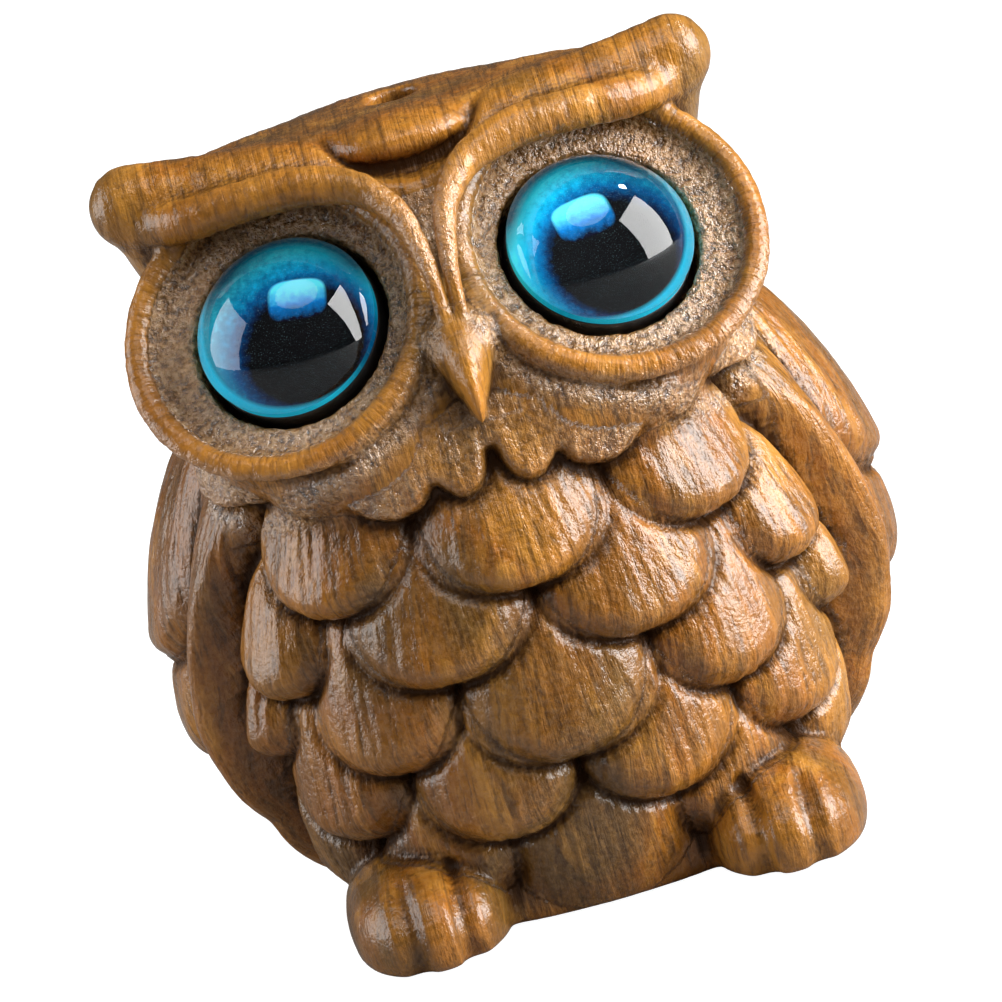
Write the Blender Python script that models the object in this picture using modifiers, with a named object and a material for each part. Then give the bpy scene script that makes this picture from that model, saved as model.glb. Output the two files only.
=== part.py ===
"""A small owl carved from one block of wood, with two glass eyes set in blind sockets.

Metres, +Z up. The owl stands on z = 0 and faces -Y. The origin is the middle of its flat underside.
The wood is modelled as a carver would see it: a turned blank, then rounded masses added for head,
wings, feathers and feet, fused into one body, then cut flat below and drilled for the eyes.
"""

import math

import bmesh
import bpy
from mathutils import Matrix, Vector

MM = 0.001

# The blank: height and radius of the body before any carving, in millimetres.
BLANK = [(-1.5, 15.0), (0.5, 16.0), (3, 17.6), (7, 19.0), (12, 20.0), (18, 20.4), (24, 19.9),
         (29, 18.6), (34, 17.2), (38, 15.5), (42, 12.0), (44, 7.0)]
BLANK_WIDTH = 0.95          # the blank is slightly narrower across than front to back
BLANK_BACK = 0.98           # and slightly shallower behind

# Head: a round mass, then fuller masses that carry the flat top out to the ears.
HEAD_MASSES = [
    ((0.0, 0.0, 39.4), (20.2, 17.0, 12.6)),
    ((0.0, -4.6, 46.8), (12.5, 8.4, 5.7)),
    ((0.0, -14.0, 37.0), (7.0, 4.6, 8.0)),
    ((0.0, -10.6, 33.4), (17.4, 9.6, 5.2)),
    ((0.0, 1.2, 32.6), (18.9, 17.6, 6.6)),
]
BROW_MASS = ((10.6, -5.4, 47.6), (9.6, 6.2, 4.6))
EAR_ROOT = ((16.4, -4.2, 46.6), (4.3, 4.4, 4.6))
CROWN_DIMPLE = (0.0, -3.4, 53.4)
CROWN_DIMPLE_RADII = (1.5, 1.3, 1.6)
EAR = (18.3, -6.2, 50.1)
EAR_RADIUS = 2.65
BROW_PATH = [(1.4, -19.0, 41.4), (1.7, -17.2, 44.2), (3.8, -14.0, 47.6), (8.0, -11.0, 49.9),
             (13.2, -8.8, 50.4), (18.2, -6.6, 49.9)]
BROW_RADII = [0.7, 0.9, 1.3, 1.7, 2.0, 2.3]
FOREHEAD_TUFT = ((0.0, -8.4, 50.0), (4.8, 4.8, 1.9))
BEAK_PATH = [(0.0, -18.6, 40.3), (0.0, -20.9, 38.2), (0.0, -22.2, 35.8), (0.0, -22.5, 34.3)]
BEAK_RADII = [0.9, 1.95, 1.1, 0.35]

# Eyes. Each looks outward and upward; the pieces are stacked along that direction.
EYE_CENTRE = (10.3, -14.8, 41.9)        # middle of the flat back of the glass
EYE_OUTWARD = 17.0                      # degrees
EYE_UPWARD = 40.0                       # degrees
GLASS_RADIUS = 6.0
GLASS_HEIGHT = 3.9
GLASS_EDGE = 0.35                       # straight side below the dome
IRIS_RADIUS = 5.8
IRIS_THICKNESS = 0.3
BASE_RADIUS = 6.0
BASE_THICKNESS = 2.5
BASE_CHAMFER = 0.25
GLUE_RADIUS = 5.5
GLUE_THICKNESS = 0.5
GLUE_CHAMFER = 0.2
GAP = 0.3                               # kept between pieces that touch in the real thing
SOCKET_RADIUS = 7.0
RING_CENTRE = (11.0, -15.0, 41.9)
RING_RADIUS = 9.2
RING_SECTION = 1.35
RING_SINK = 0.9                         # how far the ring's middle lies behind the back of the glass
RING_BACKING = 4.4
DISH_RADIUS = 8.3
DISH_DEPTH = 1.9

# Ruff below the face: x of each scallop, height of its middle, its half width and half height.
RUFF = [(1.9, 31.6, 2.1, 2.9), (7.4, 31.6, 3.7, 3.5), (12.4, 32.4, 2.7, 3.0), (16.6, 32.2, 3.0, 3.2)]
RUFF_FRONT = 20.3
RUFF_SIDE = 19.4
RUFF_LEAN = 26.0                        # degrees the ruff leans forward at its lower edge
RUFF_THICKNESS = 1.6

# Breast feathers: height of the middle and half height, then (angle, half width) pairs.
FEATHERS = [
    (27.9, 5.0, [(0, 6.3), (31, 5.9), (55, 3.9)]),
    (22.9, 5.0, [(16.5, 6.3), (46, 4.5)]),
    (17.3, 5.5, [(0, 6.5), (32, 5.8), (57, 3.4)]),
    (11.9, 5.3, [(16.5, 6.2), (47, 4.7)]),
    (6.0, 5.4, [(0, 5.8), (32, 5.4), (60, 3.6)]),
]
FEATHER_THICKNESS = 1.6
FEATHER_LIFT = 0.35                     # how far each middle sits off the surface
FEATHER_LEAN = 22.0                     # degrees that lift the lower edge

# Wings: the plain mass of each wing, then its feathers as
# (angle from the front, height of the middle, half width, half length) groups.
WING_MASSES = [(84, 23.0, 7.0, 8.6, 3.6), (88, 13.5, 6.8, 9.6, 3.4), (112, 22.0, 8.0, 9.0, 3.0),
               (112, 12.0, 8.0, 10.0, 3.0), (100, 27.6, 9.0, 4.6, 2.4)]
WING_FEATHERS = [
    (76, 25.4, 5.6, 7.2), (98, 25.2, 5.6, 7.4), (121, 25.2, 5.4, 7.2), (143, 25.6, 4.6, 6.6),
    (76, 16.8, 4.6, 7.0), (96, 16.2, 5.6, 7.2), (119, 15.8, 5.6, 7.4), (141, 16.4, 4.8, 7.4),
    (84, 9.0, 4.4, 7.6), (102, 8.4, 4.8, 7.8), (121, 7.8, 4.8, 7.8), (139, 8.6, 4.4, 7.8),
]
WING_FEATHER_THICKNESS = 1.7
WING_LIFT = 2.6                         # how far the wing feathers stand off the body
WING_LEAN = 13.0

BACK_FEATHERS = [
    (31.0, 4.2, [(180, 4.6), (158, 4.0)]),
    (26.0, 4.4, [(169, 4.4)]),
    (21.0, 4.8, [(180, 4.8), (158, 4.0)]),
    (15.6, 5.0, [(169, 4.6)]),
]
TAIL = [(0.0, 19.6, 7.4, 2.7), (4.1, 18.8, 7.2, 2.6), (7.9, 17.0, 7.0, 2.5)]   # x, y, height, half width
TAIL_HALF_LENGTH = 7.9
TAIL_THICKNESS = 1.9
TAIL_LEAN = 14.0

# Feet: three toes and an instep on each side.
TOES = [((9.2, -14.6, 3.0), (8.5, -20.4, 2.0)),
        ((12.0, -14.4, 3.2), (12.1, -21.3, 2.2)),
        ((14.8, -13.4, 2.9), (15.6, -19.8, 2.0))]
TOE_RADIUS_BACK = 2.7
TOE_RADIUS_FRONT = 2.25
INSTEP = (12.0, -14.6, 1.6)
INSTEP_RADII = (5.6, 8.2, 4.9)

VOXEL = 0.62                            # size of the fusing grid
BODY_TRIANGLES_KEPT = 0.122             # share of the fused triangles that the body keeps

SIDES = (("left", 1.0), ("right", -1.0))    # the owl's own left is +X

WOOD = ((0.30, 0.145, 0.048), 0.38, 0.0, 0.0)
GLASS = ((0.90, 0.95, 0.97), 0.03, 0.0, 1.0)
FOIL = ((0.03, 0.36, 0.55), 0.25, 0.8, 0.0)
BLACK = ((0.012, 0.012, 0.014), 0.12, 0.0, 0.0)
ADHESIVE = ((0.75, 0.72, 0.62), 0.4, 0.0, 0.0)


def clear_scene():
    """Remove whatever is in the file."""
    for item in list(bpy.data.objects):
        bpy.data.objects.remove(item, do_unlink=True)
    for group in list(bpy.data.collections):
        bpy.data.collections.remove(group)


def new_collection(name):
    """A collection linked to the scene."""
    group = bpy.data.collections.new(name)
    bpy.context.scene.collection.children.link(group)
    return group


def new_material(name, look):
    """A Principled material from base colour, roughness, metallic and transmission."""
    colour, roughness, metallic, transmission = look
    material = bpy.data.materials.new(name)
    material.use_nodes = True
    shader = material.node_tree.nodes["Principled BSDF"]
    shader.inputs["Base Color"].default_value = (*colour, 1.0)
    shader.inputs["Roughness"].default_value = roughness
    shader.inputs["Metallic"].default_value = metallic
    shader.inputs["Transmission Weight"].default_value = transmission
    material.diffuse_color = (*colour, 1.0)
    return material


def new_object(name, mesh, group, look):
    """A named object with its own material, in a collection."""
    item = bpy.data.objects.new(name, mesh)
    group.objects.link(item)
    if look is not None:
        mesh.materials.append(new_material(name, look))
    return item


def blank_radius(z):
    """Radius of the blank at a height, and its slope."""
    for (z0, r0), (z1, r1) in zip(BLANK, BLANK[1:]):
        if z <= z1:
            share = max(0.0, (z - z0) / (z1 - z0))
            return r0 + (r1 - r0) * share, (r1 - r0) / (z1 - z0)
    return BLANK[-1][1], -1.0


def surface_frame(angle, z, lift=0.0):
    """Where the blank's surface is at an angle from the front, with its side, normal and up."""
    turn = math.radians(angle)
    radius, slope = blank_radius(z)
    back = BLANK_BACK if abs(angle) > 90 else 1.0
    point = Vector((radius * BLANK_WIDTH * math.sin(turn), -radius * back * math.cos(turn), z))
    out = Vector((math.sin(turn) / BLANK_WIDTH, -math.cos(turn), -slope)).normalized()
    side = Vector((math.cos(turn), math.sin(turn), 0.0)).normalized()
    up = side.cross(out)
    if up.z < 0:
        up = -up
    return point + out * lift, side, out, up


def unit_ball(around, along):
    """A sphere of radius 1, used as a lump of clay."""
    shape = bmesh.new()
    bmesh.ops.create_uvsphere(shape, u_segments=around, v_segments=along, radius=1.0)
    mesh = bpy.data.meshes.new("lump")
    shape.to_mesh(mesh)
    shape.free()
    return mesh


def press_in(clay, ball, place):
    """Add a placed copy of a sphere to the clay."""
    lump = ball.copy()
    lump.transform(Matrix.Scale(MM, 4) @ place)
    if place.to_3x3().determinant() < 0:
        lump.flip_normals()
    clay.from_mesh(lump)
    bpy.data.meshes.remove(lump)


def add_pillow(clay, centre, side, out, up, radii):
    """An ellipsoid with its own axes: half width, thickness and half length."""
    place = Matrix((
        (side.x * radii[0], out.x * radii[1], up.x * radii[2], centre.x),
        (side.y * radii[0], out.y * radii[1], up.y * radii[2], centre.y),
        (side.z * radii[0], out.z * radii[1], up.z * radii[2], centre.z),
        (0.0, 0.0, 0.0, 1.0)))
    press_in(clay, bpy.data.meshes["large_lump"], place)


def add_ball(clay, centre, radii):
    """An ellipsoid square to the axes."""
    add_pillow(clay, Vector(centre), Vector((1, 0, 0)), Vector((0, 1, 0)), Vector((0, 0, 1)), radii)


def smooth_path(points, radii, step):
    """Evenly spaced points and radii on a curve through the given ones."""
    spots = []
    count = len(points)
    for k in range(count - 1):
        p0, p1 = Vector(points[max(k - 1, 0)]), Vector(points[k])
        p2, p3 = Vector(points[k + 1]), Vector(points[min(k + 2, count - 1)])
        pieces = max(2, int((p2 - p1).length / step))
        for j in range(pieces):
            t = j / pieces
            spot = 0.5 * (2 * p1 + (p2 - p0) * t + (2 * p0 - 5 * p1 + 4 * p2 - p3) * t * t
                          + (3 * p1 - p0 - 3 * p2 + p3) * t * t * t)
            spots.append((spot, radii[k] + (radii[k + 1] - radii[k]) * t))
    spots.append((Vector(points[-1]), radii[-1]))
    return spots


def add_roll(clay, points, radii, step=0.5):
    """A tapering roll of clay along a curve."""
    bead = bpy.data.meshes["small_lump"]
    for spot, radius in smooth_path(points, radii, step):
        press_in(clay, bead, Matrix.Translation(spot) @ Matrix.Scale(radius, 4))


def mirrored(points, sign):
    """The same points on the other side of the owl."""
    return [(x * sign, y, z) for x, y, z in points]


def eye_axes(sign):
    """Side, outward and up directions of one eye."""
    outward, upward = math.radians(EYE_OUTWARD) * sign, math.radians(EYE_UPWARD)
    out = Vector((math.sin(outward) * math.cos(upward), -math.cos(outward) * math.cos(upward),
                  math.sin(upward)))
    side = Vector((math.cos(outward), math.sin(outward), 0.0))
    return side, out, out.cross(side)


def add_feather(clay, angle, z, lift, lean, radii):
    """One feather lying on the blank with its lower edge lifted.

    Radii are half width, thickness and half length.
    """
    centre, side, out, up = surface_frame(angle, z, lift)
    tilt = Matrix.Rotation(math.radians(lean), 3, side)
    if (tilt @ up).dot(out) > 0:
        tilt = tilt.inverted()
    add_pillow(clay, centre, side, tilt @ out, tilt @ up, radii)


def add_feather_rows(clay, rows):
    """Rows of overlapping feathers on both sides of the middle."""
    for z, half, feathers in rows:
        for angle, wide in feathers:
            for sign in ((1.0,) if angle in (0, 180) else (1.0, -1.0)):
                add_feather(clay, angle * sign, z, FEATHER_LIFT, FEATHER_LEAN,
                            (wide, FEATHER_THICKNESS, half))


def add_ring(clay, sign):
    """The raised ring round one eye, on a solid backing."""
    side, out, up = eye_axes(sign)
    middle = Vector((RING_CENTRE[0] * sign, RING_CENTRE[1], RING_CENTRE[2])) - out * RING_SINK
    add_pillow(clay, middle - out * RING_BACKING / 2, side, out, up,
               (RING_RADIUS, RING_BACKING, RING_RADIUS))
    around = []
    for k in range(25):
        turn = 2 * math.pi * k / 24
        around.append(middle + (side * math.cos(turn) + up * math.sin(turn)) * RING_RADIUS)
    add_roll(clay, around, [RING_SECTION] * 25)


def build_clay():
    """Every rounded mass of the wood, still as separate overlapping bodies in one mesh."""
    clay = bmesh.new()
    unit_ball(28, 16).name = "large_lump"
    unit_ball(14, 8).name = "small_lump"
    for z in range(-1, 44):
        radius, _ = blank_radius(z)
        add_ball(clay, (0, 0, z), (radius * BLANK_WIDTH, radius, 2.2))
    for centre, radii in HEAD_MASSES:
        add_ball(clay, centre, radii)
    add_ball(clay, *FOREHEAD_TUFT)
    add_roll(clay, BEAK_PATH, BEAK_RADII)
    for _, sign in SIDES:
        for centre, radii in (BROW_MASS, EAR_ROOT, (EAR, (EAR_RADIUS,) * 3)):
            add_ball(clay, (centre[0] * sign, centre[1], centre[2]), radii)
        add_roll(clay, mirrored(BROW_PATH, sign), BROW_RADII)
        add_ring(clay, sign)
    add_ruff(clay)
    add_feather_rows(clay, FEATHERS)
    add_feather_rows(clay, BACK_FEATHERS)
    add_wings(clay)
    add_tail(clay)
    add_feet(clay)
    mesh = bpy.data.meshes.new("carved_body")
    clay.to_mesh(mesh)
    clay.free()
    return mesh


def add_ruff(clay):
    """The scalloped ruff under the face."""
    lean = Matrix.Rotation(math.radians(-RUFF_LEAN), 3, "X")
    for x, z, wide, tall in RUFF:
        for sign in (1.0, -1.0):
            turn = math.asin(x / RUFF_SIDE) * sign
            spin = Matrix.Rotation(turn, 3, "Z")
            centre = Vector((x * sign, -RUFF_FRONT * math.cos(turn), z))
            side, out, up = (spin @ (lean @ Vector(v)) for v in ((1, 0, 0), (0, -1, 0), (0, 0, 1)))
            add_pillow(clay, centre, side, out, up, (wide, RUFF_THICKNESS, tall))


def add_wings(clay):
    """Folded wings on both flanks."""
    for sign in (1.0, -1.0):
        for angle, z, wide, half, thick in WING_MASSES:
            centre, side, out, up = surface_frame(angle * sign, z)
            add_pillow(clay, centre, side, out, up, (wide, thick, half))
        for angle, z, wide, half in WING_FEATHERS:
            add_feather(clay, angle * sign, z, WING_LIFT, WING_LEAN, (wide, WING_FEATHER_THICKNESS, half))


def add_tail(clay):
    """A short fan of tail feathers behind."""
    lean = Matrix.Rotation(math.radians(TAIL_LEAN), 3, "X")
    for x, y, z, wide in TAIL:
        for sign in ((1.0,) if x == 0 else (1.0, -1.0)):
            turn = Matrix.Rotation(-math.atan2(x * sign, y), 3, "Z")
            side, out, up = (turn @ (lean @ Vector(v)) for v in ((1, 0, 0), (0, 1, 0), (0, 0, 1)))
            add_pillow(clay, Vector((x * sign, y - 1.0, z)), side, out, up,
                       (wide, TAIL_THICKNESS, TAIL_HALF_LENGTH))


def add_feet(clay):
    """Two feet of three toes each, flat below."""
    for sign in (1.0, -1.0):
        add_ball(clay, (INSTEP[0] * sign, INSTEP[1], INSTEP[2]), INSTEP_RADII)
        for heel, tip in TOES:
            add_roll(clay, mirrored([heel, tip], sign), [TOE_RADIUS_BACK, TOE_RADIUS_FRONT])


def add_cutter(name, mesh, group, body, matrix=None):
    """A cutting tool and the subtraction that uses it."""
    tool = bpy.data.objects.new(name, mesh)
    group.objects.link(tool)
    if matrix is not None:
        tool.matrix_world = matrix
    tool.hide_render = True
    tool.display_type = "WIRE"
    cut = body.modifiers.new(name, "BOOLEAN")
    cut.operation = "DIFFERENCE"
    cut.solver = "EXACT"
    cut.object = tool


def eye_matrix(sign, along):
    """The eye's own frame, its +Z outward, moved along that direction from the back of the glass."""
    side, out, up = eye_axes(sign)
    origin = (Vector((EYE_CENTRE[0] * sign, EYE_CENTRE[1], EYE_CENTRE[2])) + out * along) * MM
    return Matrix(((side.x, up.x, out.x, origin.x), (side.y, up.y, out.y, origin.y),
                   (side.z, up.z, out.z, origin.z), (0.0, 0.0, 0.0, 1.0)))


def outline_mesh(name, profile):
    """The edge of a turned piece, from the top of the axis down the outside to the bottom."""
    shape = bmesh.new()
    corners = [shape.verts.new((radius * MM, 0.0, height * MM)) for radius, height in profile]
    for upper, lower in zip(corners, corners[1:]):
        shape.edges.new((upper, lower))
    mesh = bpy.data.meshes.new(name)
    shape.to_mesh(mesh)
    shape.free()
    return mesh


def add_turned(name, profile, steps, group, look):
    """A turned piece: an outline swept once round its own Z axis."""
    piece = new_object(name, outline_mesh(name, profile), group, look)
    sweep = piece.modifiers.new("turn", "SCREW")
    sweep.axis = "Z"
    sweep.steps = steps
    sweep.render_steps = steps
    sweep.use_merge_vertices = True
    sweep.merge_threshold = 0.000001
    sweep.use_smooth_shade = True
    return piece


def disc_mesh(name, radius, low, high, steps):
    """A round plate or plug about Z between two heights in millimetres."""
    shape = bmesh.new()
    bmesh.ops.create_cone(shape, cap_ends=True, segments=steps, radius1=radius * MM, radius2=radius * MM,
                          depth=(high - low) * MM, matrix=Matrix.Translation((0, 0, (low + high) / 2 * MM)))
    mesh = bpy.data.meshes.new(name)
    shape.to_mesh(mesh)
    shape.free()
    return mesh


def block_mesh(name, low, high):
    """A rectangular block between two corners in millimetres."""
    shape = bmesh.new()
    size = [b - a for a, b in zip(low, high)]
    middle = [(a + b) / 2 for a, b in zip(low, high)]
    bmesh.ops.create_cube(shape, size=1.0, matrix=Matrix.Translation(Vector(middle) * MM)
                          @ Matrix.Diagonal((size[0] * MM, size[1] * MM, size[2] * MM, 1.0)))
    mesh = bpy.data.meshes.new(name)
    shape.to_mesh(mesh)
    shape.free()
    return mesh


def ball_mesh(name, radii):
    """An ellipsoid in millimetres about its own centre."""
    shape = bmesh.new()
    bmesh.ops.create_uvsphere(shape, u_segments=40, v_segments=20, radius=1.0,
                              matrix=Matrix.Diagonal((radii[0] * MM, radii[1] * MM, radii[2] * MM, 1.0)))
    mesh = bpy.data.meshes.new(name)
    shape.to_mesh(mesh)
    shape.free()
    return mesh


def build_body(group, cutters):
    """The one block of wood, fused, cut flat below and drilled for the eyes."""
    body = new_object("carved_body", build_clay(), group, WOOD)
    fuse = body.modifiers.new("fuse", "REMESH")
    fuse.mode = "VOXEL"
    fuse.voxel_size = VOXEL * MM
    soften = body.modifiers.new("soften", "SMOOTH")
    soften.factor = 0.35
    soften.iterations = 1
    thin = body.modifiers.new("thin", "DECIMATE")
    thin.ratio = BODY_TRIANGLES_KEPT
    add_cutter("cut_underside", block_mesh("cut_underside", (-40, -40, -20), (40, 40, 0)), cutters, body)
    add_cutter("cut_crown", ball_mesh("cut_crown", CROWN_DIMPLE_RADII), cutters, body,
               Matrix.Translation(Vector(CROWN_DIMPLE) * MM))
    for name, sign in SIDES:
        dish = ball_mesh(f"cut_dish_{name}", (DISH_RADIUS, DISH_RADIUS, DISH_DEPTH))
        add_cutter(f"cut_dish_{name}", dish, cutters, body, eye_matrix(sign, 0.0))
    floor = -(GAP + BASE_THICKNESS + GAP + GLUE_THICKNESS + GAP + IRIS_THICKNESS + GAP)
    for name, sign in SIDES:
        add_cutter(f"cut_socket_{name}", disc_mesh(f"cut_socket_{name}", SOCKET_RADIUS, 0.0, 14.0, 64),
                   cutters, body, eye_matrix(sign, floor))


def dome_profile():
    """Outline of the glass: flat back, short straight edge, round dome."""
    rise = GLASS_HEIGHT - GLASS_EDGE
    sphere = (GLASS_RADIUS ** 2 + rise ** 2) / (2 * rise)
    steep = math.asin(GLASS_RADIUS / sphere)
    profile = [(0.0, GLASS_HEIGHT)]
    for k in range(1, 7):
        turn = steep * k / 7
        profile.append((sphere * math.sin(turn), GLASS_HEIGHT - sphere * (1 - math.cos(turn))))
    return profile + [(GLASS_RADIUS, GLASS_EDGE), (GLASS_RADIUS, 0.15),
                      (GLASS_RADIUS - 0.15, 0.0), (0.0, 0.0)]


def plate_profile(radius, thickness, edge):
    """Outline of a round plate with chamfered rims."""
    return [(0.0, thickness), (radius - edge, thickness), (radius, thickness - edge),
            (radius, edge), (radius - edge, 0.0), (0.0, 0.0)]


def build_eyes(group):
    """Glass, iris, backing and adhesive of each eye, stacked along the way it looks."""
    iris_at = -GAP - IRIS_THICKNESS
    base_at = iris_at - GAP - BASE_THICKNESS
    glue_at = base_at - GAP - GLUE_THICKNESS
    base = plate_profile(BASE_RADIUS, BASE_THICKNESS, BASE_CHAMFER)
    glue = plate_profile(GLUE_RADIUS, GLUE_THICKNESS, GLUE_CHAMFER)
    for name, sign in SIDES:
        dome = add_turned(f"eye_dome_{name}", dome_profile(), 40, group, GLASS)
        iris = new_object(f"iris_disc_{name}", disc_mesh(f"iris_disc_{name}", IRIS_RADIUS, 0.0,
                                                         IRIS_THICKNESS, 40), group, FOIL)
        backing = add_turned(f"eye_base_{name}", base, 40, group, BLACK)
        bed = add_turned(f"glue_bed_{name}", glue, 32, group, ADHESIVE)
        for piece, along in ((dome, 0.0), (iris, iris_at), (backing, base_at), (bed, glue_at)):
            piece.matrix_world = eye_matrix(sign, along)


def main():
    """Build the whole owl."""
    clear_scene()
    owl = new_collection("carved_owl")
    cutters = new_collection("cutters")
    build_body(owl, cutters)
    build_eyes(owl)


main()
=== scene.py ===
import math

import bpy
import numpy as np
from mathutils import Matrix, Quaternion, Vector


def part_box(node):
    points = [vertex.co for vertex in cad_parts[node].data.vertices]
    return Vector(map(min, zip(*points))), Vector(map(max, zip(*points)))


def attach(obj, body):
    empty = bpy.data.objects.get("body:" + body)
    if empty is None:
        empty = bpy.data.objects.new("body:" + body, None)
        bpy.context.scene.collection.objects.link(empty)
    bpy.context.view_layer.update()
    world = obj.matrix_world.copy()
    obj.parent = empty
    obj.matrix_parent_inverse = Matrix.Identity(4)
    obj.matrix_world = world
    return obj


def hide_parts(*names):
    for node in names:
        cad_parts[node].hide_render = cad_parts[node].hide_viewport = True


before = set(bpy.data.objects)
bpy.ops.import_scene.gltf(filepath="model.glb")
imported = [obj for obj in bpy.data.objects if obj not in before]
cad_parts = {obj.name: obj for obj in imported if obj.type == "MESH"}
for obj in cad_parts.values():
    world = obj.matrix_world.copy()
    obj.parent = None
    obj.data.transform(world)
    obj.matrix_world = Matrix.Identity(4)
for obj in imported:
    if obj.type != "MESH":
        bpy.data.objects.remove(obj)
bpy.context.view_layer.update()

MM = 0.001

# The owl is carved as a carver would do it: body and head, then feathers, ruff, wings, feet and face.
# Lengths are millimetres until the mesh is made. It faces -Y.
# Angles on the body are degrees round the upright axis, 0 at the front and 180 behind.
# The shape is worked out for the x >= 0 half and mirrored.

VOXEL = 0.21
BAND = 3.0  # distances further than this from the surface are cut off

# Height against radius of the plain body: front, side and back.
BODY_Z = [-1.5, 0, 2, 5, 9, 14, 19, 24, 28, 31, 35, 38]
BODY_FRONT = [15.2, 16.4, 17.6, 18.8, 19.9, 20.7, 21.0, 20.7, 20.0, 19.3, 18.2, 16.8]
BODY_SIDE = [12.4, 13.6, 15.5, 17.8, 19.5, 20.4, 20.6, 20.2, 19.5, 18.8, 18.0, 17.0]
BODY_BACK = [15.8, 16.8, 17.9, 18.9, 19.5, 19.6, 19.3, 18.7, 17.9, 17.3, 16.6, 16.0]
BODY_TOP = 36.5  # the head hides the body's flat top

# Plain surface of the folded wing at its widest: height against radius.
WING_Z = [-1.5, 0.6, 4, 7, 10, 15, 20, 24, 27, 30, 33, 36]
WING_OUT = [10.6, 12.6, 16.1, 19.0, 21.2, 22.8, 22.8, 22.3, 21.6, 20.5, 18.9, 15.0]
WING_TURN = [60, 78, 90, 110, 130, 150, 165, 180]
WING_SHARE = [0.955, 0.985, 1.0, 0.99, 0.965, 0.925, 0.89, 0.86]
# Angle of the groove between breast and wing, against height.
GROOVE_Z = [0, 2, 6.5, 11, 17, 21, 25.5, 28, 31, 36]
GROOVE_TURN = [73.5, 71.5, 68, 67, 66.5, 64.5, 60, 56, 52, 49]
GROOVE_WIDTH = 4.2  # degrees from the groove's floor to the wing's crest
GROOVE_DEPTH, CREST_RISE = 1.2, 0.5

# Breast feathers, lowest row first: (angle, height of the tip, half width, rounding of the tip, length)
BREAST = [
    (0, -0.8, 7.6, 5.6, 9.0), (31, 1.0, 5.6, 4.6, 9.0), (59, 2.0, 4.8, 3.8, 9.0),
    (15.5, 6.3, 5.7, 5.0, 9.6), (47, 7.0, 5.5, 4.4, 9.0),
    (0, 11.1, 6.4, 5.2, 10.0), (61.5, 13.0, 3.2, 2.9, 7.0), (32, 12.1, 5.4, 4.8, 9.4),
    (17.5, 17.8, 6.2, 4.9, 9.0), (51.5, 17.6, 4.5, 4.0, 8.0),
    (0, 22.9, 6.3, 4.6, 8.5), (35.5, 23.2, 6.3, 5.3, 8.5),
]
# Wing feathers, lowest tier first, same numbers and then the lean in degrees per millimetre
WING = [
    (152, 2.6, 3.6, 4.4, 12.0, 0), (139, 1.0, 4.0, 5.0, 13.0, 0), (122, 0.2, 4.5, 5.4, 14.0, 0),
    (100, -0.1, 6.4, 6.4, 14.0, 0),
    (158, 12.2, 4.6, 4.4, 10.0, 0), (140, 10.6, 5.6, 5.0, 11.0, 0), (119, 9.8, 6.0, 5.2, 11.0, 0),
    (93, 10.2, 6.6, 6.2, 13.0, 0),
    (81, 0.3, 2.9, 5.5, 28.0, -0.5),
    (162, 20.6, 4.4, 4.2, 9.0, 0), (145, 19.2, 5.6, 5.0, 10.0, 0), (120, 18.4, 7.2, 5.8, 11.0, 0),
    (93, 18.3, 8.0, 6.6, 14.0, 0),
]
TAIL = [(180, 0.6, 3.4, 3.4, 15.0), (168.5, 0.9, 3.2, 3.4, 14.0), (158, 1.6, 3.0, 3.2, 13.0)]
BACK = [
    (180, 13.5, 4.6, 4.0, 9.0), (171, 18.5, 4.2, 3.8, 8.0),
    (180, 23.0, 4.4, 3.8, 8.0), (170, 26.4, 4.2, 3.6, 7.0),
]

FEATHER_RISE = 2.45  # how far a breast feather's lower end stands out
FEATHER_TOP = 0.1  # and its upper end
LOWEST_SHARE = 0.55  # of that rise on the lowest row, which runs into the base
FEATHER_CROWN = 1.0  # extra height along its middle
FEATHER_TAPER = 0.16  # share of its width that it loses towards its upper end
WING_RISE = 2.1  # lower end on the wing, then both ends on tail and back
TAIL_TOP, TAIL_RISE = 0.4, 2.4
BACK_TOP, BACK_RISE = 0.3, 1.5
EDGE_ROUND = 2.9  # width of the rounded rim
RIM_LINE_IN = 0.95  # a fine line is cut this far inside each rim
UNDERCUT_DEPTH = 0.85  # depth of the groove outside the rim
BODY_REACH, WING_REACH = 21.0, 23.0  # radius at which widths on body and wing are measured
RUFF_RISE = 2.5
# Scalloped lower edge of the ruff: angle of each lobe's middle, its lowest height, half its width
RUFF_LOBES = [(6.2, 29.5, 5.4), (19.0, 28.9, 8.6), (34.8, 30.0, 5.9), (55.0, 30.5, 12), (74, 33.4, 9),
              (96, 34.0, 12), (120, 34.0, 12), (144, 33.6, 12), (168, 33.2, 12), (192, 33.2, 12)]
RUFF_NOTCH = 32.0  # height of the notches between the lobes in front
RUFF_NOTCH_BEHIND = 35.4

# Head: centre, radii and boxiness of its masses
HEAD_MASSES = [
    ((0.0, 0.6, 38.8), (20.3, 17.2, 12.4), 2.15),
    ((0.0, -3.4, 46.4), (14.8, 9.4, 5.75), 2.5),
    ((10.0, -4.4, 47.2), (8.6, 6.2, 4.7), 2.2),
    ((0.0, -15.8, 36.2), (6.6, 4.6, 6.6), 2.0),
    ((6.5, -14.4, 33.4), (8.6, 6.8, 5.0), 2.0),
]
HEAD_BLEND = 1.6
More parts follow.
